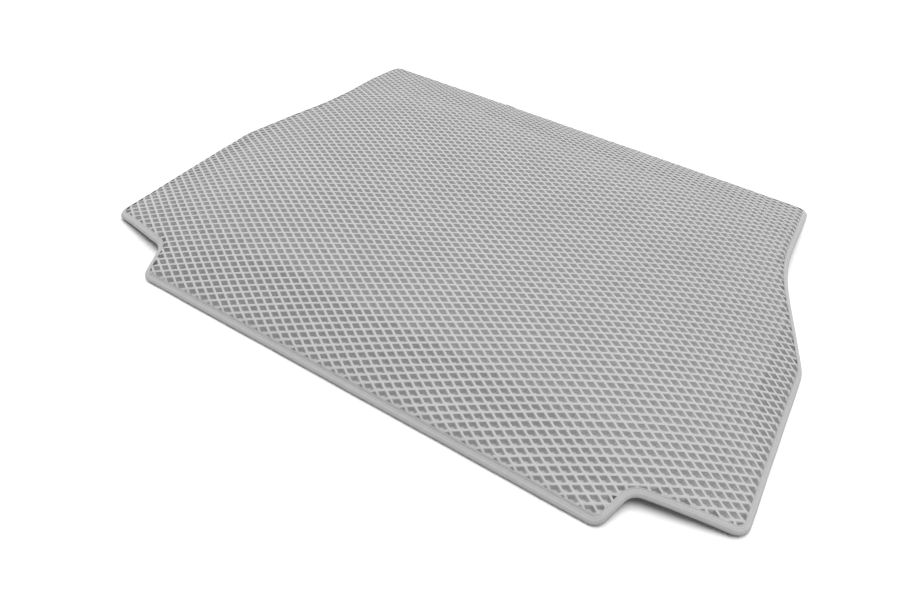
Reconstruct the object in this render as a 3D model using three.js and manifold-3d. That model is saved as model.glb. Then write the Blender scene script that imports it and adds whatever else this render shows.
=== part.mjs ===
// A car boot liner: a light foam sheet full of open rhombic pockets, cut to the plan of a boot floor,
// with a woven tape folded round its edge and one lockstitch seam that holds the tape on.
//
// Units are millimetres. X runs along the width, Y from the tailgate side to the seat side, Z is up.
// The origin is the middle of the liner's box, on the floor that it rests on.
// The loose liner is slightly domed: its edge lies on the floor and its middle stands clear of it.

import * as THREE from "three";
import { mergeVertices } from "three/addons/utils/BufferGeometryUtils.js";
import Module from "manifold-3d";

// Plan of the liner, over the tape. Depths are counted from the tailgate edge.
const matWidth = 962;
const matDepth = 714;
const sillWidth = 684; // the tailgate edge, between its two notches
const notchDepth = 50; // how far a notch goes in
const notchLean = 16; // how far a notch wall leans outwards
const lugDepth = 74; // depth at which a front lug meets the side
const shoulderDepth = 345; // depth at which a side starts to draw in for the wheel arch
const waistDepth = 510; // depth at which the drawn-in line meets the narrow part
const waistWidth = 824; // width of the narrow part

// Corner radii of the plan
const sillRadius = 17;
const notchRadius = 20;
const lugRadius = 22;
const shoulderRadius = 59;
const waistRadius = 280;
const seatRadius = 18;

// Dome of the loose liner: its rise, and how square it is along each axis
const domeRise = 40.4;
const domePowerX = 4.3;
const domePowerY = 3.55;

// Foam sheet. A pocket here stands for a block of small ones, four by four, at a pitch of 20.8 by 12.3.
const sheetThickness = 10;
const pocketDepth = 6.5;
const pocketLong = 83.2; // pitch along the long diagonal
const pocketShort = 49.2; // pitch along the short diagonal
const ridgeWidth = 7; // wall top between two pockets
const pocketDraft = 3.5; // how far a pocket's floor is drawn in from its rim
const fieldMargin = 3; // foam between the tape and the pocketed field
const borderOverlap = 1; // how far the plain border reaches under the field
const borderStep = 0.7; // how far the border stays inside the field's faces where they join

// Edge tape, folded into a U round the squeezed margin of the foam
const tapeWidth = 8.5;
const tapeThickness = 0.8;
const edgeThickness = 6; // over the tape, at the fold
const hemThickness = 7; // over the tape, at its inner edges
const foldRadius = 1.6; // how far the fold's rounding reaches in
const noseInsetShare = 0.25; // of that rounding, where the nose of the fold begins
const noseHeightShare = 0.56; // of the edge's thickness, the height of the nose
const bearingWidth = 3; // flat under the fold, where the liner bears on the floor

// Seam
const threadDiameter = 0.5;
const seamInset = 1.2; // from the tape's inner edge

const clearance = 0.3; // between pieces that touch

// How finely the edge is divided
const edgeStep = 60;
const arcStep = THREE.MathUtils.degToRad(20);
const fewestArcSteps = 2;
const threadSides = 4;
const mergeDistance = 0.001; // vertices nearer than this are one

const wasm = await Module();
wasm.setup();

// Corners of the plan on the right-hand side, from the tailgate edge to the seat edge
function rightCorners() {
  const front = -matDepth / 2;
  const side = matWidth / 2;
  const sill = sillWidth / 2;
  const waist = waistWidth / 2;
  return [
    { x: sill, y: front, radius: sillRadius },
    { x: sill + notchLean, y: front + notchDepth, radius: notchRadius },
    { x: side, y: front + lugDepth, radius: lugRadius },
    { x: side, y: front + shoulderDepth, radius: shoulderRadius },
    { x: waist, y: front + waistDepth, radius: waistRadius },
    { x: waist, y: front + matDepth, radius: seatRadius },
  ];
}

// The whole plan, anticlockwise from above: the right-hand corners and their mirror images
function planCorners() {
  const right = rightCorners();
  const left = right.map((corner) => ({ ...corner, x: -corner.x })).reverse();
  return [...right, ...left].map(({ x, y, radius }) => ({
    at: new THREE.Vector2(x, y),
    radius,
  }));
}

// A station is a point of the outer edge with the direction that points into the sheet.
function station(point, along) {
  return { point, inward: new THREE.Vector2(-along.y, along.x) };
}

// The arc that rounds one corner, as the stations from its start to its end
function cornerStations(before, corner, after) {
  const into = corner.at.clone().sub(before.at).normalize();
  const out = after.at.clone().sub(corner.at).normalize();
  const turn = Math.atan2(into.cross(out), into.dot(out));
  const reach = corner.radius * Math.tan(Math.abs(turn) / 2);
  const arcLength = corner.radius * Math.abs(turn);
  const byAngle = Math.ceil(Math.abs(turn) / arcStep);
  const byLength = Math.ceil(arcLength / edgeStep);
  const steps = Math.max(fewestArcSteps, byAngle, byLength);
  const start = corner.at.clone().addScaledVector(into, -reach);
  const side = Math.sign(turn);
  const toCentre = new THREE.Vector2(-into.y, into.x).multiplyScalar(side * corner.radius);
  const centre = start.clone().add(toCentre);
  const found = [];
  for (let k = 0; k <= steps; k += 1) {
    const angle = (turn * k) / steps;
    const along = into.clone().rotateAround(new THREE.Vector2(), angle);
    const spoke = new THREE.Vector2(along.y, -along.x).multiplyScalar(side * corner.radius);
    found.push(station(centre.clone().add(spoke), along));
  }
  return found;
}

// Stations along the straight line between two arcs, without its ends
function lineStations(from, to) {
  const along = to.clone().sub(from);
  const length = along.length();
  const steps = Math.max(1, Math.ceil(length / edgeStep));
  const found = [];
  for (let k = 1; k < steps; k += 1) {
    const point = from.clone().lerp(to, k / steps);
    found.push(station(point, along.clone().divideScalar(length)));
  }
  return found;
}

// All stations of the outer edge, anticlockwise
function edgeStations() {
  const corners = planCorners();
  const count = corners.length;
  const arcs = corners.map((corner, i) =>
    cornerStations(corners[(i + count - 1) % count], corner, corners[(i + 1) % count]),
  );
  return arcs.flatMap((arc, i) => {
    const next = arcs[(i + 1) % count];
    return [...arc, ...lineStations(arc[arc.length - 1].point, next[0].point)];
  });
}

// Height of the liner's underside over the floor
function domeHeight(x, y) {
  const across = Math.min(1, Math.abs(x / (matWidth / 2)));
  const along = Math.min(1, Math.abs(y / (matDepth / 2)));
  return domeRise * (1 - across ** domePowerX) * (1 - along ** domePowerY);
}

// One point of a section: inset from the outer edge, and height over the underside.
// The fold of the tape keeps level with the edge itself, so that it bears on the floor.
function sectionPoint({ point, inward }, inset, height, level = false) {
  const place = point.clone().addScaledVector(inward, inset);
  const base = level ? point : place;
  return new THREE.Vector3(place.x, place.y, domeHeight(base.x, base.y) + height);
}

// The same section point at every station, as one closed ring
function ring(stations, inset, height, level) {
  return stations.map((each) => sectionPoint(each, inset, height, level));
}

// A growing list of triangles, from which a mesh geometry is made
class Surface {
  constructor() {
    this.positions = [];
  }

  triangle(a, b, c) {
    for (const corner of [a, b, c]) {
      this.positions.push(corner.x, corner.y, corner.z);
    }
  }

  // A four-cornered face is split along its shorter diagonal.
  // Faces that lie side by side are then split alike.
  quad(a, b, c, d) {
    if (a.distanceTo(c) <= b.distanceTo(d)) {
      this.triangle(a, b, c);
      this.triangle(a, c, d);
    } else {
      this.triangle(b, c, d);
      this.triangle(b, d, a);
    }
  }

  // The band between two rings of equal count, which run anticlockwise.
  // It faces outwards where the upper ring is above.
  band(lower, upper) {
    lower.forEach((each, i) => {
      const j = (i + 1) % lower.length;
      this.quad(each, lower[j], upper[j], upper[i]);
    });
  }

  // A fan that closes a ring at one point
  fan(ringPoints, tip) {
    ringPoints.forEach((each, i) => {
      this.triangle(each, ringPoints[(i + 1) % ringPoints.length], tip);
    });
  }

  geometry() {
    const made = new THREE.BufferGeometry();
    made.setAttribute("position", new THREE.Float32BufferAttribute(this.positions, 3));
    made.computeVertexNormals();
    return made;
  }
}

// A closed loop whose section is the given list of rings
function loopGeometry(rings) {
  const surface = new Surface();
  rings.forEach((each, k) => surface.band(each, rings[(k + 1) % rings.length]));
  return surface.geometry();
}

// Inset at which the flat under the fold ends
const bearingEnd = foldRadius + bearingWidth;

// The tape's section runs up the outside of the fold, from one inner edge to the other, and back inside.
function tapeRings(stations) {
  const noseInset = foldRadius * noseInsetShare;
  const half = edgeThickness / 2;
  const noseReach = half * noseHeightShare;
  const inside = foldRadius + tapeThickness / 2;
  const outer = [
    ring(stations, tapeWidth, 0),
    ring(stations, bearingEnd, 0, true),
    ring(stations, foldRadius, 0, true),
    ring(stations, noseInset, half - noseReach, true),
    ring(stations, 0, half, true),
    ring(stations, noseInset, half + noseReach, true),
    ring(stations, foldRadius, edgeThickness, true),
    ring(stations, tapeWidth, hemThickness),
  ];
  const inner = [
    ring(stations, tapeWidth, hemThickness - tapeThickness),
    ring(stations, inside, edgeThickness - tapeThickness, true),
    ring(stations, tapeThickness, half, true),
    ring(stations, inside, tapeThickness, true),
    ring(stations, bearingEnd, tapeThickness, true),
    ring(stations, tapeWidth, tapeThickness),
  ];
  return [...outer, ...inner];
}

// The squeezed foam inside the fold of the tape, from its top inner corner round to the underside
function marginRings(stations) {
  const step = tapeWidth + clearance;
  const skin = tapeThickness + clearance;
  const nose = foldRadius + tapeThickness / 2 + clearance;
  return [
    ring(stations, step, hemThickness + clearance),
    ring(stations, step, hemThickness - skin),
    ring(stations, nose, edgeThickness - skin, true),
    ring(stations, nose, skin, true),
    ring(stations, bearingEnd, skin, true),
    ring(stations, step, skin),
    ring(stations, step, 0),
  ];
}

// Lifts a plan point to a height over the domed underside.
function lifted(point, height) {
  return new THREE.Vector3(point.x, point.y, domeHeight(point.x, point.y) + height);
}

// A rhombus round a centre, with its long diagonal along X, drawn in by an even margin on its four sides
function rhombus(centre, margin) {
  const halfLong = pocketLong / 2;
  const halfShort = pocketShort / 2;
  const toSide = (halfLong * halfShort) / Math.hypot(halfLong, halfShort);
  const share = 1 - margin / toSide;
  return [
    new THREE.Vector2(halfLong * share, 0),
    new THREE.Vector2(0, halfShort * share),
    new THREE.Vector2(-halfLong * share, 0),
    new THREE.Vector2(0, -halfShort * share),
  ].map((corner) => corner.add(centre));
}

// One cell of the foam: ridge tops round a pocket, its walls and its floor, and the underside below.
// Its outer sides are closed only where it has no neighbour.
function addCell(surface, centre, isOpenSide) {
  const plan = rhombus(centre, 0);
  const outer = plan.map((each) => lifted(each, sheetThickness));
  const under = plan.map((each) => lifted(each, 0));
  const rim = rhombus(centre, ridgeWidth / 2).map((each) => lifted(each, sheetThickness));
  const floor = rhombus(centre, ridgeWidth / 2 + pocketDraft).map((each) =>
    lifted(each, sheetThickness - pocketDepth),
  );
  surface.band(outer, rim);
  surface.band(rim, floor);
  surface.quad(floor[0], floor[1], floor[2], floor[3]);
  surface.quad(under[3], under[2], under[1], under[0]);
  for (let k = 0; k < outer.length; k += 1) {
    if (isOpenSide(k)) {
      const next = (k + 1) % outer.length;
      surface.quad(under[k], under[next], outer[next], outer[k]);
    }
  }
}

// A block of cells that is larger than the liner, centred on it. A neighbour shares each side of a cell.
const neighbourSteps = [
  [1, 1],
  [-1, 1],
  [-1, -1],
  [1, -1],
];

function cellBlock() {
  const columns = Math.ceil(matWidth / pocketLong) + 1;
  const rows = Math.ceil(matDepth / pocketShort) + 1;
  const holds = (i, j) => Math.abs(i) <= columns && Math.abs(j) <= rows;
  const surface = new Surface();
  for (let i = -columns; i <= columns; i += 1) {
    for (let j = -rows; j <= rows; j += 1) {
      if ((i + j) % 2 === 0) {
        const centre = new THREE.Vector2((i * pocketLong) / 2, (j * pocketShort) / 2);
        const isOpenSide = (k) => !holds(i + neighbourSteps[k][0], j + neighbourSteps[k][1]);
        addCell(surface, centre, isOpenSide);
      }
    }
  }
  return surface.geometry();
}

// An upright block with the plan of the field, taller than the domed sheet
const fieldInset = tapeWidth + clearance + fieldMargin;

function fieldBlock(stations) {
  const bottom = -sheetThickness;
  const top = domeRise + 2 * sheetThickness;
  const outline = stations.map(({ point, inward }) => point.clone().addScaledVector(inward, fieldInset));
  const low = outline.map((each) => new THREE.Vector3(each.x, each.y, bottom));
  const high = outline.map((each) => new THREE.Vector3(each.x, each.y, top));
  const surface = new Surface();
  surface.band(low, high);
  surface.fan(high, new THREE.Vector3(0, 0, top));
  surface.fan([...low].reverse(), new THREE.Vector3(0, 0, bottom));
  return surface.geometry();
}

// The plain foam round the field: it closes the cut pockets and ends in the squeezed margin under the tape.
function borderGeometry(stations) {
  const joined = fieldInset + borderOverlap;
  const under = ring(stations, joined, borderStep);
  const over = ring(stations, joined, sheetThickness - borderStep);
  return loopGeometry([...marginRings(stations), under, over].reverse());
}

// A closed geometry as a solid that can be joined and cut
function solidFrom(geometry) {
  const bare = new THREE.BufferGeometry();
  bare.setAttribute("position", geometry.getAttribute("position"));
  const merged = mergeVertices(bare, mergeDistance);
  const vertProperties = new Float32Array(merged.getAttribute("position").array);
  const triVerts = new Uint32Array(merged.index.array);
  return new wasm.Manifold(new wasm.Mesh({ numProp: 3, vertProperties, triVerts }));
}

// A solid as a geometry again
function geometryFrom(solid) {
  const mesh = solid.getMesh();
  const made = new THREE.BufferGeometry();
  made.setAttribute("position", new THREE.BufferAttribute(mesh.vertProperties, mesh.numProp));
  made.setIndex(new THREE.BufferAttribute(mesh.triVerts, 1));
  made.computeVertexNormals();
  return made;
}

// The whole foam sheet: the pocketed field, cut to its outline, joined to the plain foam round it
function sheetGeometry(stations) {
  const field = solidFrom(cellBlock()).intersect(solidFrom(fieldBlock(stations)));
  return geometryFrom(field.add(solidFrom(borderGeometry(stations))));
}

// Height of the tape's outer face at the seam, over one leg of the fold
function seamHeight(each, upper) {
  const seam = tapeWidth - seamInset;
  const start = upper ? foldRadius : bearingEnd;
  const share = (seam - start) / (tapeWidth - start);
  const outerPoint = sectionPoint(each, start, upper ? edgeThickness : 0, true);
  const innerPoint = sectionPoint(each, tapeWidth, upper ? hemThickness : 0);
  return outerPoint.lerp(innerPoint, share);
}

// One thread of the seam, lying along the outer face of one leg of the tape
function threadGeometry(stations, upper) {
  const radius = threadDiameter / 2;
  const offset = (radius + clearance) * (upper ? 1 : -1);
  const rings = [];
  for (let k = 0; k < threadSides; k += 1) {
    const angle = (2 * Math.PI * k) / threadSides;
    rings.push(
      stations.map((each) => {
        const centre = seamHeight(each, upper);
        const sideways = -radius * Math.cos(angle);
        return new THREE.Vector3(
          centre.x + each.inward.x * sideways,
          centre.y + each.inward.y * sideways,
          centre.z + offset + radius * Math.sin(angle),
        );
      }),
    );
  }
  return loopGeometry(rings);
}

const foam = new THREE.MeshStandardMaterial({ color: 0xc9c9c9, roughness: 0.85, metalness: 0 });
const tape = new THREE.MeshStandardMaterial({ color: 0xb9b9b9, roughness: 0.95, metalness: 0 });
const needleThread = new THREE.MeshStandardMaterial({ color: 0xc2c2c2, roughness: 0.7, metalness: 0 });
const bobbinThread = new THREE.MeshStandardMaterial({ color: 0xbcbcbc, roughness: 0.7, metalness: 0 });

function named(name, geometry, material) {
  const mesh = new THREE.Mesh(geometry, material);
  mesh.name = name;
  return mesh;
}

const edge = edgeStations();
const liner = new THREE.Group();
liner.add(named("cell_sheet", sheetGeometry(edge), foam));
liner.add(named("edge_tape", loopGeometry(tapeRings(edge)), tape));
liner.add(named("needle_thread", threadGeometry(edge, true), needleThread));
liner.add(named("bobbin_thread", threadGeometry(edge, false), bobbinThread));

export default liner;
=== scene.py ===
# %% [markdown]
# A car boot liner, dressed for its portrait.
#
# The real liner is a sheet of light grey foam, about 10 mm thick, whose top is a net of thin ridges
# round nearly five thousand small rhombic pockets. Its cut edge is squeezed flat and wrapped in a woven
# tape, and one row of lockstitch goes through tape and foam all the way round.
# Laid loose on a floor it stays slightly domed: its long straight edges touch the floor, and its
# middle, its two front lugs and its narrow waist stand clear of it.
#
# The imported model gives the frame: where the edge is, how high the dome rises, what rides on what.
# Everything below is built round that frame, in metres.

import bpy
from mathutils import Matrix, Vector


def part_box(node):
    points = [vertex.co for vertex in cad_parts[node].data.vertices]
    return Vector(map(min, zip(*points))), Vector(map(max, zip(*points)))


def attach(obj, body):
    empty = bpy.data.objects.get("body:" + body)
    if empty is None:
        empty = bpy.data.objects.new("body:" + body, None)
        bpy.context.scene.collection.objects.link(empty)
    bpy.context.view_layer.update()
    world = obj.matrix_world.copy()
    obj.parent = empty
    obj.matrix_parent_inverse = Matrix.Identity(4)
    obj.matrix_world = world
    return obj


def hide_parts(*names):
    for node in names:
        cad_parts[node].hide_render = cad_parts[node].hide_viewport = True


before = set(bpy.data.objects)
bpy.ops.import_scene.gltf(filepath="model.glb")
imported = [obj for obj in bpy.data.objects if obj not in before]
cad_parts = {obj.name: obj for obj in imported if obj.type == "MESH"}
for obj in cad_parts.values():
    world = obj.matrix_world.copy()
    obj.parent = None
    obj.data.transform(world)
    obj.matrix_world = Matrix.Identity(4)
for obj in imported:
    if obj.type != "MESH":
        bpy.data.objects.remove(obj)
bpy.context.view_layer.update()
print("solids:", sorted(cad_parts))

# %% Tools of the lesson
import math

import bmesh
import bpy
import numpy as np
from mathutils import Vector

MM = 0.001  # one millimetre
print("a millimetre is", MM, "m")

# %% [markdown]
# **The plan.** The liner's outline is a tailgate edge between two notches, a lug on either side of it,
# two long sides that draw in for the wheel arches, and a straight edge against the seats.
# Its greatest width and depth are read from the frame. The other sizes are the ones that the pattern
# cutter would mark on the sheet: how deep the notches go, where a side starts to draw in, and so on.

# %% Sizes of the plan
tape_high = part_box("edge_tape")[1]
half_width = tape_high.x
half_depth = tape_high.y
sill_width = 684 * MM
notch_depth = 50 * MM
notch_lean = 16 * MM
lug_depth = 74 * MM
shoulder_depth = 345 * MM
waist_depth = 510 * MM
waist_width = 824 * MM
print("plan:", round(2 * half_width, 4), "by", round(2 * half_depth, 4))

# %% Corners of the plan
# Each corner is (x, y, rounding). Depths are counted from the tailgate edge.
right_corners = [
    (sill_width / 2, -half_depth, 17 * MM),
    (sill_width / 2 + notch_lean, -half_depth + notch_depth, 20 * MM),
    (half_width, -half_depth + lug_depth, 22 * MM),
    (half_width, -half_depth + shoulder_depth, 59 * MM),
    (waist_width / 2, -half_depth + waist_depth, 280 * MM),
    (waist_width / 2, half_depth, 18 * MM),
]
left_corners = [(-x, y, rounding) for x, y, rounding in reversed(right_corners)]
corners = right_corners + left_corners
print(len(corners), "corners")

# %% [markdown]
# A rounded outline can be a Bezier curve, but then its arcs are only nearly round and its length has to
# be measured afterwards. Here each corner is a true arc between two straight lines, and points are
# put along both at an even spacing. Each point keeps the direction that points into the sheet:
# the tape, the seam and the squeezed margin are all measured along it.

# %% An arc at a corner
least_steps = 3


def turned(vector, angle):
    """A plan vector turned anticlockwise."""
    cos, sin = math.cos(angle), math.sin(angle)
    return np.array([vector[0] * cos - vector[1] * sin, vector[0] * sin + vector[1] * cos])


def corner_arc(before, corner, after, spacing):
    """Points and inward directions round one corner."""
    into = corner[:2] - before[:2]
    out = after[:2] - corner[:2]
    into, out = into / np.linalg.norm(into), out / np.linalg.norm(out)
    turn = math.atan2(into[0] * out[1] - into[1] * out[0], into @ out)
    rounding = corner[2]
    start = corner[:2] - into * rounding * math.tan(abs(turn) / 2)
    to_centre = math.copysign(rounding, turn) * np.array([-into[1], into[0]])
    steps = max(least_steps, math.ceil(abs(turn) * rounding / spacing))
    points, inward = [], []
    for k in range(steps + 1):
        angle = turn * k / steps
        points.append(start + to_centre - turned(to_centre, angle))
        inward.append(turned(np.array([-into[1], into[0]]), angle))
    return points, inward


print("an arc has", least_steps, "steps or more")

# %% Walk round the outline
walk_spacing = 4 * MM


def walk(spacing):
    """The whole outline as an array of points and one of inward directions, anticlockwise."""
    plan = [np.array(corner) for corner in corners]
    count = len(plan)
    arcs = [corner_arc(plan[i - 1], plan[i], plan[(i + 1) % count], spacing) for i in range(count)]
    points, inward = [], []
    for i, (arc_points, arc_inward) in enumerate(arcs):
        points += arc_points
        inward += arc_inward
        line = arcs[(i + 1) % count][0][0] - arc_points[-1]
        steps = max(1, math.ceil(np.linalg.norm(line) / spacing))
        points += [arc_points[-1] + line * k / steps for k in range(1, steps)]
        inward += [arc_inward[-1]] * (steps - 1)
    return np.array(points), np.array(inward)


edge_points, edge_inward = walk(walk_spacing)
edge_length = np.linalg.norm(np.roll(edge_points, -1, axis=0) - edge_points, axis=1).sum()
print("edge:", len(edge_points), "points,", round(edge_length, 3), "m round")

# %% [markdown]
# **The dome.** Foam that was rolled up for shipping doesn't lie flat. The height of its underside is one
# smooth formula over the plan: zero along the four sides of the box, nearly level in the middle, with a
# power that says how late it starts to fall. Its rise is read from the frame.

# %% Height of the underside
sheet_thickness = 10 * MM
dome_power_x = 4.3
dome_power_y = 3.55
dome_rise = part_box("cell_sheet")[1].z - sheet_thickness


def dome(place):
    """Height of the underside over the floor, at plan places."""
    across = np.minimum(1, np.abs(place[:, 0] / half_width))
    along = np.minimum(1, np.abs(place[:, 1] / half_depth))
    return dome_rise * (1 - across**dome_power_x) * (1 - along**dome_power_y)


print("rise of the dome:", round(dome_rise, 4))


# %% [markdown]
# Foam bends, but it hardly stretches, so where the dome falls away the pattern on it looks shorter from
# above. A point of the flat sheet moves inwards by half the square of the slope, summed from the middle.

# %% From the flat sheet to the plan
def draped(flat):
    """Plan places of points of the flat sheet."""
    across = flat[:, 0] / half_width
    along = flat[:, 1] / half_depth
    fall_x = 1 - np.minimum(1, np.abs(across)) ** dome_power_x
    fall_y = 1 - np.minimum(1, np.abs(along)) ** dome_power_y
    twice_x = 2 * dome_power_x - 1
    twice_y = 2 * dome_power_y - 1
    steep_x = 0.5 * (dome_rise * dome_power_x / half_width) ** 2 * half_width / twice_x
    steep_y = 0.5 * (dome_rise * dome_power_y / half_depth) ** 2 * half_depth / twice_y
    short_x = steep_x * np.sign(across) * np.abs(across) ** twice_x * fall_y**2
    short_y = steep_y * np.sign(along) * np.abs(along) ** twice_y * fall_x**2
    return np.stack([flat[:, 0] - short_x, flat[:, 1] - short_y], axis=1)


side_middle = np.array([[half_width, 0.0]])
print("the dome draws a side in by", round(half_width - draped(side_middle)[0, 0], 4))


# %% [markdown]
# **The margin.** The tape holds the foam's edge squeezed. To shape it, each point needs its distance
# from the outline and the nearest point of it. There are tools for that in Blender, such as a BVH tree,
# but the outline is fewer than a thousand short lines, and numpy measures to all of them at once.

# %% Distance from the edge
def nearest_on_edge(place):
    """How far each plan place is from the outline, and the nearest place on it."""
    start = edge_points
    line = np.roll(edge_points, -1, axis=0) - start
    square = (line**2).sum(axis=1)
    distance = np.empty(len(place))
    nearest = np.empty((len(place), 2))
    chunk = 4000
    for first in range(0, len(place), chunk):
        some = place[first : first + chunk]
        away = some[:, None] - start[None]
        share = np.clip((away * line).sum(axis=2) / square, 0, 1)
        foot = start[None] + share[..., None] * line[None]
        far = np.linalg.norm(some[:, None] - foot, axis=2)
        best = far.argmin(axis=1)
        rows = np.arange(len(some))
        distance[first : first + chunk] = far[rows, best]
        nearest[first : first + chunk] = foot[rows, best]
    return distance, nearest


plan_middle = np.zeros((1, 2))
print("the middle is", round(nearest_on_edge(plan_middle)[0][0], 3), "m from the edge")

# %% [markdown]
# Along its very edge the sheet keeps level with the edge itself, so that the fold bears flat on the floor.
# From there to the tape's inner edge it comes over to the dome, in a soft S.

# %% Height under the margin
tape_width = 8.5 * MM
bearing_end = 4.6 * MM


def smooth_step(value, low, high):
    """0 below low, 1 above high, and a soft S in between."""
    share = np.clip((value - low) / (high - low), 0, 1)
    return share * share * (3 - 2 * share)


def base_height(place, nearest, distance):
    """Height of the sheet's underside, levelled at the margin."""
    follows_dome = smooth_step(distance, bearing_end, tape_width)
    return (1 - follows_dome) * dome(nearest) + follows_dome * dome(place)


print("the fold bears flat over its outer", round(bearing_end / MM, 1), "mm")

# %% [markdown]
# **Foam.** Each pocket sits in a rhombic cell, and the ridge between two pockets belongs half to each.
# The pockets could be cut from a slab one by one, or be bump in the material, but bump has no shadow and
# thousands of cuts are slow. Instead one cell is modelled as a closed column, from the crest of
# the ridge over its rounded shoulder and down the wall to the floor, and its copies share their sides.
# The acute ends of a pocket are cut off short, as the moulding tool's pins are.

# %% Sizes of one cell
pitch_long = 20.8 * MM
pitch_short = 12.284 * MM
first_pocket = np.array([3.8, 1.9]) * MM  # middle of the pocket nearest to the plan's middle
pocket_depth = 7.5 * MM
shoulder_inset = 0.95 * MM
shoulder_drop = 0.1 * MM
rim_inset = 1.45 * MM
rim_drop = 0.5 * MM
floor_inset = 2.3 * MM
end_cut = 0.9 * MM
print("pockets are", round(pocket_depth / MM, 1), "mm deep")

# %% Rings of one cell
half_long = pitch_long / 2
half_short = pitch_short / 2
side_distance = half_long * half_short / math.hypot(half_long, half_short)


def cell_rhombus(inset):
    """East, north, west and south corners of the cell, drawn in evenly on all four sides."""
    share = 1 - inset / side_distance
    return np.array([(half_long, 0), (0, half_short), (-half_long, 0), (0, -half_short)]) * share


def cell_hexagon(inset):
    """The same with its east and west ends cut off: two points for each of those."""
    east, north, west, south = cell_rhombus(inset)
    side = north - east
    step = end_cut * side / np.linalg.norm(side)
    flip = np.array([1, -1])
    return np.array([east + step * flip, east + step, north, west - step * flip, west - step, south])


cell_rings = [
    cell_rhombus(0),
    cell_rhombus(0),
    cell_rhombus(shoulder_inset),
    cell_hexagon(rim_inset),
    cell_hexagon(floor_inset),
]
cell_plan = np.concatenate(cell_rings)
print("one cell has", len(cell_plan), "points")

# %% [markdown]
# The rings are tied together once, as faces of one cell. The sheet is then that cell repeated with numpy,
# in rows that are shifted by half a pitch, a little larger than the liner on every side.
# A column's side is closed only where no neighbour shares it, so the block is one closed body.

# %% Faces of one cell
under_ring = [0, 1, 2, 3]
crest_ring = [4, 5, 6, 7]
shoulder_ring = [8, 9, 10, 11]
rim_ring = [12, 13, 14, 15, 16, 17]
floor_ring = [18, 19, 20, 21, 22, 23]


def band(outer, inner):
    """Faces between two rings of equal count."""
    pairs = range(len(outer))
    return [[outer[k], outer[(k + 1) % len(outer)], inner[(k + 1) % len(inner)], inner[k]] for k in pairs]


def rhombus_to_hexagon(four, six):
    """Faces between a ring of four and a ring of six, whose ends are cut off."""
    east, north, west, south = four
    east_low, east_high, north_in, west_high, west_low, south_in = six
    return [
        [east, north, north_in, east_high],
        [north, west, west_high, north_in],
        [west, south, south_in, west_low],
        [south, east, east_low, south_in],
        [east, east_high, east_low],
        [west, west_low, west_high],
    ]


cell_faces = [under_ring[::-1], floor_ring]
cell_faces += band(crest_ring, shoulder_ring)
cell_faces += rhombus_to_hexagon(shoulder_ring, rim_ring)
cell_faces += band(rim_ring, floor_ring)
print("one cell has", len(cell_faces), "faces")

# %% Heights of one cell
ring_heights = [
    0,
    sheet_thickness,
    sheet_thickness - shoulder_drop,
    sheet_thickness - rim_drop,
    sheet_thickness - pocket_depth,
]
cell_heights = np.repeat(ring_heights, [len(ring) for ring in cell_rings])
print("heights of the rings:", [round(height / MM, 2) for height in ring_heights], "mm")

# %% Repeat the cell
spare_cells = 2  # beyond the liner on every side
neighbours = [(1, 1), (-1, 1), (-1, -1), (1, -1)]


def cell_centres():
    """Lattice numbers and flat places of all cells of the block."""
    columns = math.ceil(half_width / half_long) + spare_cells
    rows = math.ceil(half_depth / half_short) + spare_cells
    every = [(i, j) for i in range(-columns, columns + 1) for j in range(-rows, rows + 1)]
    numbers = np.array([(i, j) for i, j in every if (i + j) % 2 == 0])
    return numbers, first_pocket + numbers * [half_long, half_short]


def cell_block():
    """Vertices (flat place and height) and faces of the whole block."""
    numbers, centres = cell_centres()
    count = len(cell_plan)
    flat = (centres[:, None] + cell_plan[None]).reshape(-1, 2)
    heights = np.tile(cell_heights, len(centres))
    held = {tuple(n) for n in numbers.tolist()}
    faces = []
    for index, (i, j) in enumerate(numbers.tolist()):
        start = index * count
        faces += [[start + v for v in face] for face in cell_faces]
        for k, (di, dj) in enumerate(neighbours):
            if (i + di, j + dj) not in held:
                n = (k + 1) % 4
                side = [under_ring[k], under_ring[n], crest_ring[n], crest_ring[k]]
                faces.append([start + v for v in side])
    return flat, heights, faces


block_flat, block_heights, block_faces = cell_block()
print("block:", len(block_heights), "points,", len(block_faces), "faces")


# %% [markdown]
# **Cutting to shape.** A cutter presses its knife straight through the sheet, pockets and all, and the
# tape then hides the cut. A Boolean modifier does the same here: the block, drawn in to its plan places but
# still flat, is intersected with an upright prism. The Manifold solver is right for two closed meshes, and
# it is much quicker than the Exact one.

# %% Make the block
def mesh_object(name, vertices, faces):
    """A new object from plain lists, linked to the scene."""
    mesh = bpy.data.meshes.new(name)
    mesh.from_pydata(np.asarray(vertices).tolist(), [], faces)
    mesh.validate()
    made = bpy.data.objects.new(name, mesh)
    bpy.context.scene.collection.objects.link(made)
    return made


def weld(made, distance):
    """Joins points that lie together."""
    shape = bmesh.new()
    shape.from_mesh(made.data)
    bmesh.ops.remove_doubles(shape, verts=shape.verts, dist=distance)
    shape.to_mesh(made.data)
    shape.free()


weld_distance = 0.01 * MM
block_plan = draped(block_flat)
foam = mesh_object("foam_sheet", np.column_stack([block_plan, block_heights]), block_faces)
weld(foam, weld_distance)
print("foam before the cut:", len(foam.data.vertices), "points")

# %% Make the knife
cut_inset = 2.8 * MM
knife_reach = 5 * MM
knife_plan = edge_points + cut_inset * edge_inward
knife_low = np.column_stack([knife_plan, np.full(len(knife_plan), -knife_reach)])
knife_high = np.column_stack([knife_plan, np.full(len(knife_plan), sheet_thickness + knife_reach)])
sides = len(knife_plan)
knife_faces = [[k, (k + 1) % sides, sides + (k + 1) % sides, sides + k] for k in range(sides)]
knife_faces += [list(range(sides))[::-1], list(range(sides, 2 * sides))]
knife = mesh_object("knife", np.concatenate([knife_low, knife_high]), knife_faces)
print("the knife has", sides, "sides")

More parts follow.
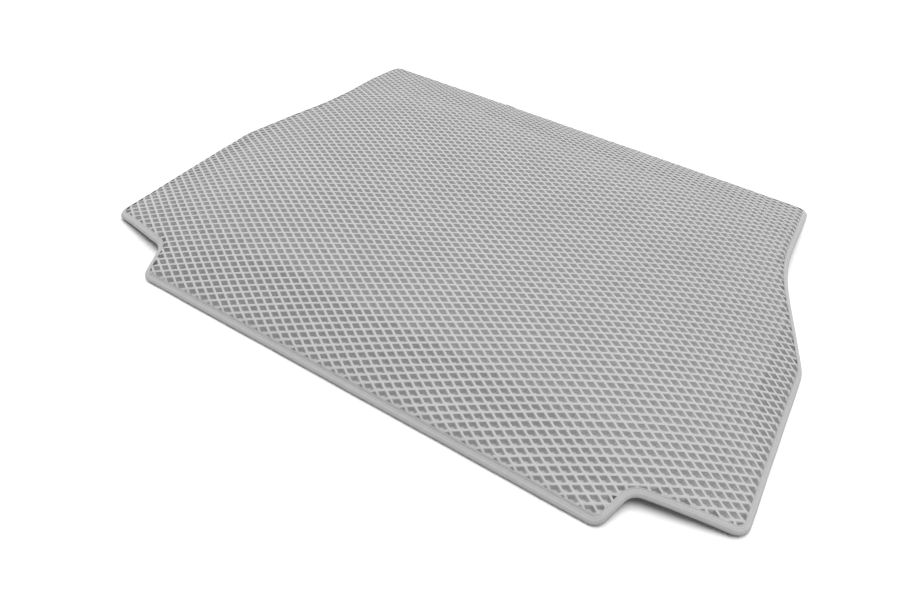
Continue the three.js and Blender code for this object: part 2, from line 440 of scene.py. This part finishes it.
# %% Cut
cut = foam.modifiers.new("cut", "BOOLEAN")
cut.operation = "INTERSECT"
cut.object = knife
cut.solver = "MANIFOLD"
bpy.context.view_layer.objects.active = foam
bpy.ops.object.modifier_apply(modifier=cut.name)
bpy.data.objects.remove(knife)
foam_triangles = sum(len(face.vertices) - 2 for face in foam.data.polygons)
print("foam after the cut:", len(foam.data.vertices), "points,", foam_triangles, "triangles")

# %% [markdown]
# **Squeezing the margin.** Between its cut edge and the tape's inner edge the foam is pressed into the
# fold, and about 1.5 mm beyond the tape it has its full thickness again. Every point's height is
# scaled between a lower and an upper limit that depend only on its distance from the edge.

# %% Section of the tape
# Points of the tape's outer face in millimetres, as distances from the edge and heights over the
# underside: from the inner edge of the lower leg, round the fold, to the inner edge of the upper leg.
tape_thickness = 0.8 * MM
fold_insets = [8.5, 7.3, 6.0, 4.6, 3.6, 2.7, 1.7, 0.7, 0.0, 0.1, 0.6, 1.4, 2.6, 4.2, 6.0, 7.3, 8.5]
fold_heights = [0, 0, 0, 0, 0, 0, 0.7, 1.8, 3.1, 4.0, 4.8, 6.1, 7.2, 8.1, 8.75, 9.05, 9.25]
fold_section = np.column_stack([fold_insets, fold_heights]) * MM
upper_leg = fold_section[fold_section[:, 0].argmin() :]
print("the fold is", round(fold_section[:, 1].max() / MM, 2), "mm high")

# %% Squeeze and lay over the dome
gap_to_tape = 0.2 * MM
early_rise = 0.4 * MM  # the top starts to rise this far under the tape
margin_end = 9.9 * MM


def foam_limits(distance):
    """Lowest and highest place of the foam over the sheet's underside, by distance from the edge."""
    inside_tape = np.interp(distance, upper_leg[:, 0], upper_leg[:, 1]) - tape_thickness - gap_to_tape
    opens = smooth_step(distance, tape_width - early_rise, margin_end)
    top = (1 - opens) * inside_tape + opens * sheet_thickness
    bottom = (1 - smooth_step(distance, tape_width, margin_end)) * (tape_thickness + gap_to_tape)
    return bottom, top


points = np.empty(len(foam.data.vertices) * 3)
foam.data.vertices.foreach_get("co", points)
points = points.reshape(-1, 3)
distance, nearest = nearest_on_edge(points[:, :2])
bottom, top = foam_limits(distance)
points[:, 2] = bottom + (top - bottom) * points[:, 2] / sheet_thickness
points[:, 2] += base_height(points[:, :2], nearest, distance)
foam.data.vertices.foreach_set("co", points.ravel())
foam.data.update()
print("foam stands", round(points[:, 2].min(), 4), "to", round(points[:, 2].max(), 4), "over the floor")

# %% [markdown]
# **Shading.** The ridges of real foam are rounded, and flat faces would show as facets. All faces are
# smooth, but an edge that turns more than a limit stays sharp: that keeps the crease round each pocket's
# floor and the knife's cut, and rounds off the ridges.

# %% Smooth the ridges, keep the creases
crease_angle = math.radians(50)
foam.data.polygons.foreach_set("use_smooth", [True] * len(foam.data.polygons))
foam.data.set_sharp_from_angle(angle=crease_angle)
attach(foam, "root")
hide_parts("cell_sheet")
print("foam rides on the root body")

# %% [markdown]
# **Tape.** A strip of ribbed woven tape, folded lengthways over the edge and sewn through. It could be
# a curve with a bevel profile, but a curve twists its profile in tight corners. Here the folded section is
# carried round the outline point by point. The strip starts and ends at the seat edge, where its end lies
# over its start, as the sewing machine leaves it. Each stitch pulls the tape in a little.

# %% Stations of the tape
stitch_pitch = 4.4 * MM
stations_in_stitch = 4
lap_length = 16 * MM
lap_x = -0.14  # the lap's place along the seat edge


def stations(step):
    """Evenly spaced points round the edge with inward directions, starting at the lap."""
    plan, inward = walk(step)
    lengths = np.linalg.norm(np.roll(plan, -1, axis=0) - plan, axis=1)
    along = np.concatenate([[0], np.cumsum(lengths)])
    count = round(along[-1] / step)
    wanted = np.arange(count) * along[-1] / count
    loop, loop_inward = np.vstack([plan, plan[:1]]), np.vstack([inward, inward[:1]])
    even = np.column_stack([np.interp(wanted, along, loop[:, k]) for k in range(2)])
    turn_in = np.column_stack([np.interp(wanted, along, loop_inward[:, k]) for k in range(2)])
    turn_in /= np.linalg.norm(turn_in, axis=1, keepdims=True)
    at_seats = even[:, 1] > half_depth - tape_width
    first = int(np.where(at_seats, np.abs(even[:, 0] - lap_x), np.inf).argmin())
    return np.roll(even, -first, axis=0), np.roll(turn_in, -first, axis=0), along[-1] / count


tape_points, tape_inward, tape_step = stations(stitch_pitch / stations_in_stitch)
lap_count = round(lap_length / tape_step)
wrap = np.arange(len(tape_points) + lap_count) % len(tape_points)
tape_points, tape_inward = tape_points[wrap], tape_inward[wrap]


# %% Section at every station
def carried(sections, points, inward):
    """Places of sections, one for each station, as stations by section points by three."""
    inset = sections[..., 0]
    plan = points[:, None] + inset[..., None] * inward[:, None]
    edge = np.broadcast_to(points[:, None], plan.shape)
    base = base_height(plan.reshape(-1, 2), edge.reshape(-1, 2), inset.ravel())
    return np.dstack([plan, base.reshape(inset.shape) + sections[..., 1]])


ahead = np.gradient(fold_section, axis=0)
outward = np.column_stack([-ahead[:, 1], ahead[:, 0]])
outward /= np.linalg.norm(outward, axis=1, keepdims=True)
across = np.concatenate([[0], np.cumsum(np.linalg.norm(np.diff(fold_section, axis=0), axis=1))])
print("flat width of the tape:", round(across[-1], 4))

# %% [markdown]
# The tape's surface isn't still. At each needle hole the thread draws it in, and the fold, which is guided
# by hand, wavers a little. Both are offsets along the section's own normals.

# %% Puckers and waver
seam_inset = 7.3 * MM
stitch_dip = 0.22 * MM
dip_between_holes = 0.4  # as a share of the dip at a hole
pucker_width = 0.9 * MM
waver_height = 0.1 * MM
waver_long = 37 * MM
waver_short = 14.3 * MM
waver_start = 1.3
station_along = np.arange(len(tape_points)) * tape_step
edge_round = station_along[-lap_count]
hole_spacing = edge_round / round(edge_round / stitch_pitch)


def pucker(inset, along):
    """How far the thread draws the tape in: most at a hole, least half way between two."""
    near_seam = np.exp(-(((inset - seam_inset) / pucker_width) ** 2))
    near_hole = (0.5 + 0.5 * np.cos(2 * np.pi * along / hole_spacing)) ** 2
    return stitch_dip * near_seam * (dip_between_holes + (1 - dip_between_holes) * near_hole)


def waver(along):
    """The hand-guided unevenness of the fold."""
    return waver_height * (np.sin(along / waver_long) + np.sin(along / waver_short + waver_start))


print("stitches are", round(hole_spacing / MM, 2), "mm apart")

# %% [markdown]
# Where the tape's end lies over its start, the upper layer is lifted by one thickness. On the underside,
# which lies on the floor, the lower layer gives way instead.

# %% Lap
layer_slack = 0.1 * MM
layer_rise = tape_thickness + layer_slack
lap_ramp = 7 * MM
turns_up = 0.6 * MM  # heights between which the fold passes from its lower to its upper leg
turned_over = 2.6 * MM
on_top = smooth_step(fold_section[:, 1], turns_up, turned_over)
upper_layer = smooth_step(station_along, edge_round - lap_ramp, edge_round)
lower_layer = 1 - smooth_step(station_along, lap_length, lap_length + lap_ramp)
shift = layer_rise * (upper_layer[:, None] * on_top - lower_layer[:, None] * (1 - on_top))
shift -= pucker(fold_section[None, :, 0], station_along[:, None])
shift += waver(station_along)[:, None] * on_top
print("tape is shifted by", round(shift.min(), 5), "to", round(shift.max(), 5))

# %% Make the tape
tape_crease_angle = math.radians(60)
inner_points = [0, 2, 5, 7, 8, 9, 11, 13, 15, 16]  # points of the section that its inner face keeps


def strip_mesh(name, rings, closed):
    """Closed rings of points in a row, joined by faces; the row's two ends are capped or joined."""
    rows, ring = rings.shape[:2]
    faces = []
    for row in range(rows if closed else rows - 1):
        here, there = row * ring, (row + 1) % rows * ring
        faces += [[here + k, here + (k + 1) % ring, there + (k + 1) % ring, there + k] for k in range(ring)]
    if not closed:
        faces += [list(range(ring))[::-1], [(rows - 1) * ring + k for k in range(ring)]]
    made = mesh_object(name, rings.reshape(-1, 3), faces)
    made.data.polygons.foreach_set("use_smooth", [True] * len(made.data.polygons))
    return made


outer_sections = fold_section + shift[..., None] * outward
inner_sections = outer_sections[:, inner_points] - tape_thickness * outward[inner_points]
tape_sections = np.concatenate([outer_sections, inner_sections[:, ::-1]], axis=1)
tape_rings = carried(tape_sections, tape_points, tape_inward)
tape = strip_mesh("edge_tape_woven", tape_rings, closed=False)
tape.data.set_sharp_from_angle(angle=tape_crease_angle)
print("tape:", sum(len(face.vertices) - 2 for face in tape.data.polygons), "triangles")

# %% Places on the flat tape
weave = np.zeros((len(tape_points), tape_sections.shape[1], 3))
weave[..., 0] = station_along[:, None]
weave[..., 1] = np.concatenate([across, across[inner_points][::-1]])
tape.data.attributes.new("weave", "FLOAT_VECTOR", "POINT").data.foreach_set("vector", weave.ravel())
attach(tape, "root")
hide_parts("edge_tape")
print("tape rides on the root body and rests on the foam")

# %% [markdown]
# **Lockstitch.** Two threads hold the tape: one lies on top and one below, and they are looped
# round each other in the needle holes. The stitches could be one small mesh copied along the edge by an
# array, but an array doesn't know about the lap and the dome. Here each thread is one tube that is
# carried along the seam, rises over each stitch and dives into each hole.

# %% Line of the threads
steps_in_stitch = 8
stitch_heights = np.array([-0.9, 0.02, 0.16, 0.22, 0.24, 0.22, 0.16, 0.02]) * MM
lap_end = 1 * MM  # the thread comes down from the lap over this length
thread_points, thread_inward, thread_step = stations(hole_spacing / steps_in_stitch)
thread_along = np.arange(len(thread_points)) * thread_step


def lap_rise(along):
    """How far the lap lifts the seam on top, round the closed edge."""
    after_start = 1 - smooth_step(along, lap_length, lap_length + lap_end)
    before_end = smooth_step(along, edge_round - lap_ramp, edge_round)
    return layer_rise * np.maximum(after_start, before_end)


print(len(thread_points) // steps_in_stitch, "stitches")

# %% Threads
thread_radius = 0.26 * MM
thread_sides = 6


def seam_thread(name, leg_height, side, lift):
    """One thread round the whole edge: side is 1 on top and -1 below."""
    heights = stitch_heights[np.arange(len(thread_points)) % steps_in_stitch]
    middle = leg_height + lift + side * (heights - pucker(seam_inset, thread_along))
    turn = 2 * np.pi * np.arange(thread_sides) / thread_sides * side
    ring = thread_radius * np.column_stack([np.cos(turn), np.sin(turn) * side])
    sections = ring[None] + np.stack([np.full(len(middle), seam_inset), middle], axis=1)[:, None]
    thread = strip_mesh(name, carried(sections, thread_points, thread_inward), closed=True)
    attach(thread, "root")
    return thread


top_height = np.interp(seam_inset, upper_leg[:, 0], upper_leg[:, 1])
needle = seam_thread("needle_stitches", top_height, 1, lap_rise(thread_along) + waver(thread_along))
bobbin = seam_thread("bobbin_stitches", 0, -1, 0)
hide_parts("needle_thread")
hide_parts("bobbin_thread")
print("the needle thread lies", round(top_height / MM, 2), "mm over the bobbin thread")

# %% [markdown]
# **Materials.** Each finish is a small tree of nodes round one Principled shader. A helper keeps the
# trees short: it makes a node, sets its sockets and joins what is passed to it.

# %% Node helper
class Tree:
    """The nodes of a material or a world, made one call at a time."""

    def __init__(self, owner, shader="Principled BSDF"):
        owner.use_nodes = True
        self.owner = owner
        self.nodes = owner.node_tree.nodes
        self.links = owner.node_tree.links
        self.shader = self.nodes[shader]

    def set(self, node, sockets):
        """Gives sockets a plain value, or joins them to another node's output."""
        for socket, value in sockets.items():
            if isinstance(value, bpy.types.NodeSocket):
                self.links.new(value, node.inputs[socket])
            else:
                node.inputs[socket].default_value = value

    def add(self, kind, sockets=None, **settings):
        """A new node with its settings and sockets."""
        node = self.nodes.new("ShaderNode" + kind)
        for setting, value in settings.items():
            setattr(node, setting, value)
        self.set(node, sockets or {})
        return node

    def calc(self, operation, *values):
        """A Math node's result."""
        node = self.add("Math", operation=operation)
        self.set(node, dict(enumerate(values)))
        return node.outputs[0]

    def wave(self, function, place, pitch):
        """The sine or cosine of a place, with one turn in each pitch."""
        return self.calc(function, self.calc("MULTIPLY", place, 2 * math.pi / pitch))

    def noise(self, place, size, detail, roughness=0.5):
        """Noise with features of about the given size in metres."""
        sockets = {"Vector": place, "Scale": 1 / size, "Detail": detail, "Roughness": roughness}
        return self.add("TexNoise", sockets).outputs["Fac"]

    def between(self, value, low, high):
        """A value from 0 to 1, spread between two levels."""
        spread = self.add("MapRange", {"Value": value, "To Min": low, "To Max": high})
        return spread.outputs["Result"]

    def varied(self, grey, value, amount):
        """A grey that moves up and down by an amount with a value from 0 to 1."""
        return self.calc("ADD", grey, self.between(value, -amount, amount))

    def bump(self, height, distance, strength, below=None):
        """A bump from a height of 0 to 1."""
        sockets = {"Height": height, "Distance": distance, "Strength": strength}
        if below is not None:
            sockets["Normal"] = below
        return self.add("Bump", sockets).outputs["Normal"]


print("node helper ready")

# %% [markdown]
# **Foam finish.** Cross-linked foam has a closed, matt skin with a fine uneven grain, and a
# light grey that drifts a little from place to place. An image of foam would repeat, so the grey
# and the grain are noise instead.

# %% Foam material
foam_grey = 0.62
drift_size = 60 * MM
speckle_size = 1.2 * MM
grain_size = 0.5 * MM
grain_height = 0.12 * MM
foam_tree = Tree(bpy.data.materials.new("light_grey_foam"))
place = foam_tree.add("TexCoord").outputs["Object"]
drift = foam_tree.noise(place, drift_size, detail=3)
speckle = foam_tree.noise(place, speckle_size, detail=3, roughness=0.6)
grain = foam_tree.noise(place, grain_size, detail=4, roughness=0.65)
foam_shade = foam_tree.varied(foam_grey, drift, 0.03)
foam_shade = foam_tree.varied(foam_shade, speckle, 0.04)
foam_tree.set(
    foam_tree.shader,
    {
        "Base Color": foam_shade,
        "Roughness": 0.82,
        "Specular IOR Level": 0.25,
        "Normal": foam_tree.bump(grain, grain_height, strength=0.6),
    },
)
foam.data.materials.clear()  # the Boolean has left an empty slot
foam.data.materials.append(foam_tree.owner)
print("foam grey:", foam_grey)

# %% [markdown]
# **Tape finish.** The tape is a plain weave whose warp ribs run along the edge, and the photograph shows
# faint broader bands along it too. The mesh carries an attribute with the place on the flat tape, so ribs
# and bands follow every corner without an unwrapping.

# %% Weave of the tape
rib_pitch = 0.85 * MM
weft_pitch = 0.6 * MM
band_pitch = 3.0 * MM
fuzz_size = 0.35 * MM
mottle_size = 9 * MM
weft_share = 0.35  # how much the crossing threads add to the ribs
weave_depth = 0.1 * MM
fuzz_depth = 0.05 * MM
tape_tree = Tree(bpy.data.materials.new("ribbed_woven_tape"))
woven = tape_tree.add("Attribute", attribute_name="weave").outputs["Vector"]
parts = tape_tree.add("SeparateXYZ", {"Vector": woven}).outputs
ribs = tape_tree.calc("MAXIMUM", tape_tree.wave("SINE", parts["Y"], rib_pitch), 0)
wefts = tape_tree.wave("SINE", parts["X"], weft_pitch)
over_under = tape_tree.calc("MULTIPLY", wefts, tape_tree.wave("COSINE", parts["Y"], 2 * rib_pitch))
weave_height = tape_tree.calc("ADD", ribs, tape_tree.calc("MULTIPLY", over_under, weft_share))
fuzz = tape_tree.noise(woven, fuzz_size, detail=3)
mottle = tape_tree.noise(woven, mottle_size, detail=3)
weave_bump = tape_tree.bump(weave_height, weave_depth, strength=0.3)
print("ribs are", round(rib_pitch / MM, 2), "mm apart")

# %% Tape material
tape_grey = 0.6
band_contrast = 0.04
bands = tape_tree.wave("SINE", parts["Y"], band_pitch)
tape_shade = tape_tree.varied(tape_grey, mottle, 0.05)
tape_shade = tape_tree.varied(tape_shade, fuzz, 0.03)
tape_shade = tape_tree.calc("ADD", tape_shade, tape_tree.calc("MULTIPLY", bands, band_contrast))
tape_tree.set(
    tape_tree.shader,
    {
        "Base Color": tape_shade,
        "Roughness": 0.85,
        "Specular IOR Level": 0.25,
        "Sheen Weight": 0.1,
        "Sheen Roughness": 0.5,
        "Normal": tape_tree.bump(fuzz, fuzz_depth, strength=0.5, below=weave_bump),
    },
)
tape.data.materials.append(tape_tree.owner)
print("tape grey:", tape_grey)

# %% [markdown]
# **Thread finish.** The threads are twisted polyester, a little smoother than the tape. Their twist could
# be modelled, but it is finer than the photograph shows, so a fine noise stands for the strands.

# %% Thread material
thread_grey = 0.56
strand_size = 0.4 * MM
strand_depth = 0.06 * MM
thread_tree = Tree(bpy.data.materials.new("twisted_thread"))
strand_place = thread_tree.add("TexCoord").outputs["Object"]
strands = thread_tree.noise(strand_place, strand_size, detail=2)
thread_tree.set(
    thread_tree.shader,
    {
        "Base Color": thread_tree.varied(thread_grey, strands, 0.08),
        "Roughness": 0.6,
        "Normal": thread_tree.bump(strands, strand_depth, strength=0.5),
    },
)
for thread in (needle, bobbin):
    thread.data.materials.append(thread_tree.owner)
print("thread grey:", thread_grey)

# %% [markdown]
# **Floor and light.** The photograph was taken on white ground, under one wide soft lamp nearly overhead
# and a little behind the liner: the depths of the pockets are in shade, and so is a narrow line under
# the near edge. It could be copied with a large area lamp, but that grows weaker from one end of the liner
# to the other. A sun lamp with a wide disc is as soft and lights all of it alike, and a dim white world
# adds a little fill. To the camera's eye the floor is brighter than it is to the light, so that it is as
# white as the photograph's and still keeps its shadows.

# %% Floor
floor_half = 4.0
floor_white = 0.9
floor_white_to_eye = 1.12
floor_corners = [(x * floor_half, y * floor_half, 0) for x, y in ((-1, -1), (1, -1), (1, 1), (-1, 1))]


def seen_directly(tree):
    """1 for what the camera sees, also in a mirror or through glass, and 0 for what only lights."""
    ray = tree.add("LightPath").outputs
    seen = tree.calc("MAXIMUM", ray["Is Camera Ray"], ray["Is Glossy Ray"])
    return tree.calc("MAXIMUM", seen, ray["Is Transmission Ray"])


floor = mesh_object("floor", floor_corners, [[0, 1, 2, 3]])
floor_tree = Tree(bpy.data.materials.new("white_floor"))
floor_tree.set(
    floor_tree.shader,
    {
        "Base Color": floor_tree.between(seen_directly(floor_tree), floor_white, floor_white_to_eye),
        "Roughness": 0.9,
        "Specular IOR Level": 0.0,
    },
)
floor.data.materials.append(floor_tree.owner)
print("floor:", 2 * floor_half, "m wide")

# %% Lamp
key_level = 0.96
key_disc = math.radians(65)
key_from = Vector((-0.06, 0.2, 1.0)).normalized()
key_data = bpy.data.lights.new("key", "SUN")
key_data.energy = math.pi * key_level / key_from.z
key_data.angle = key_disc
key = bpy.data.objects.new("key", key_data)
key.rotation_euler = key_from.to_track_quat("Z", "Y").to_euler()
bpy.context.scene.collection.objects.link(key)
print("lamp level:", key_level)

# %% Fill
fill_level = 0.05
world = bpy.data.worlds.new("studio")
world_tree = Tree(world, shader="Background")
world_level = world_tree.between(seen_directly(world_tree), fill_level, 1.0)
world_tree.set(world_tree.shader, {"Color": (1, 1, 1, 1), "Strength": world_level})
bpy.context.scene.world = world
bpy.context.scene.view_settings.view_transform = "Standard"
print("fill level:", fill_level)

# %% [markdown]
# **Camera.** The photograph's viewpoint could be found by eye. Here it was worked out from the pockets,
# whose pitch is known: a wide lens near the right-hand end of the tailgate edge, looking down at
# 45 degrees.

# %% Camera
camera_data = bpy.data.cameras.new("camera")
camera_data.sensor_fit = "HORIZONTAL"
camera_data.sensor_width = 36.0
camera_data.lens = 27.509
camera = bpy.data.objects.new("camera", camera_data)
camera.location = (0.37211, -0.75617, 0.68489)
camera.rotation_euler = [math.radians(angle) for angle in (44.88625, -3.07796, 31.35650)]
bpy.context.scene.collection.objects.link(camera)
bpy.context.scene.camera = camera
print("camera stands", round(camera.location.z, 3), "m over the floor")
